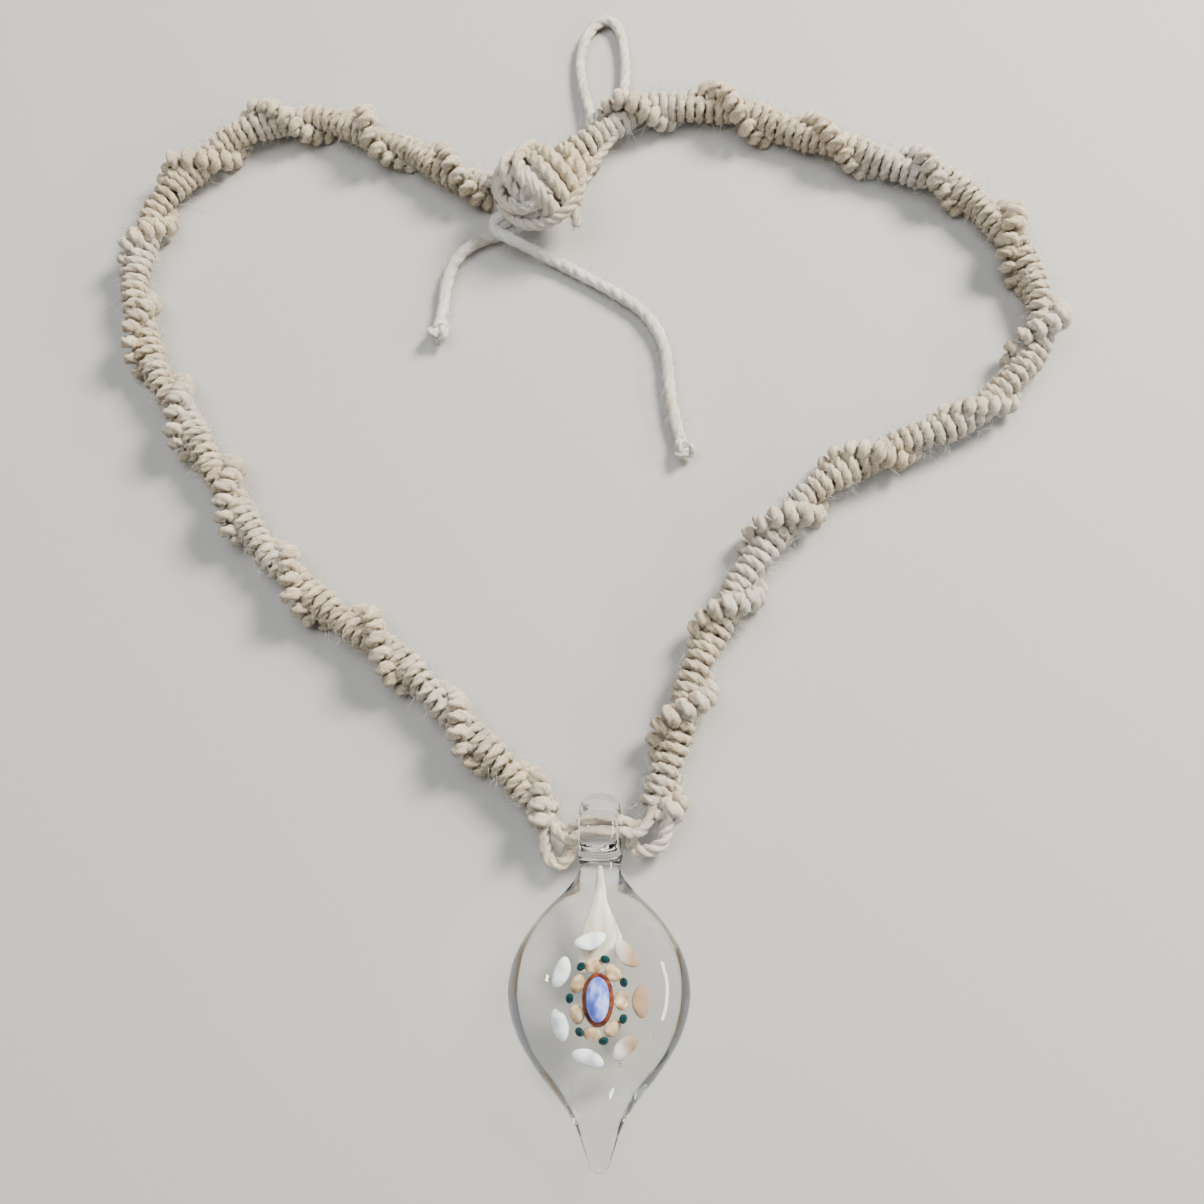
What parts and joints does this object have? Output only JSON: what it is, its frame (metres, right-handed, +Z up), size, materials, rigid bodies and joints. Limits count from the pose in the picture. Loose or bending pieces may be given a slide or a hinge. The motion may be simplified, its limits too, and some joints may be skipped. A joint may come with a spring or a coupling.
{
  "type": "evil eye ornament",
  "caption": "Clear glass drop with an eye-like flower sealed inside, hung by its bail on a knotted hemp necklace with a ball-and-loop clasp.",
  "frame": {"origin": "on the table, under the middle of the glass drop's length and width", "axes": "+Z up out of the table, +Y from the drop's tip towards its bail and the necklace, +X to the right seen from above"},
  "size_m": [0.1575, 0.1924, 0.014],
  "materials": {
    "clear_glass": "clear, fire-polished",
    "opal": "milky blue opal",
    "red_brown_glass": "translucent red-brown",
    "tan_glass": "translucent tan",
    "teal_glass": "dark teal",
    "white_glass": "opaque white",
    "cream_glass": "cream, wispy",
    "hemp_cord": "natural hemp, knotted tight",
    "pale_hemp_cord": "natural hemp, loose twisted cord"
  },
  "bodies": {
    "necklace": {"left_band": "hemp_cord", "right_band": "hemp_cord", "core_cords": "hemp_cord", "left_hitch": "hemp_cord", "right_hitch": "hemp_cord", "closure_loop": "hemp_cord", "spare_loop": "pale_hemp_cord", "ball_knot": "hemp_cord", "short_tail": "pale_hemp_cord", "long_tail": "pale_hemp_cord", "short_tail_knot": "pale_hemp_cord", "long_tail_knot": "pale_hemp_cord"},
    "pendant": {"glass_body": "clear_glass", "opal_core": "opal", "iris_ring": "red_brown_glass", "inner_petals": "tan_glass", "accent_dots": "teal_glass", "outer_petals": "white_glass", "flower_stem": "cream_glass"}
  },
  "joints": [
    {"name": "pendant_swing", "type": "hinge", "parent": "necklace", "child": "pendant", "pos_m": [0, 0.0204, 0.0055], "axis": [-1, 0, 0], "range_deg": [-140, 140]}
  ]
}
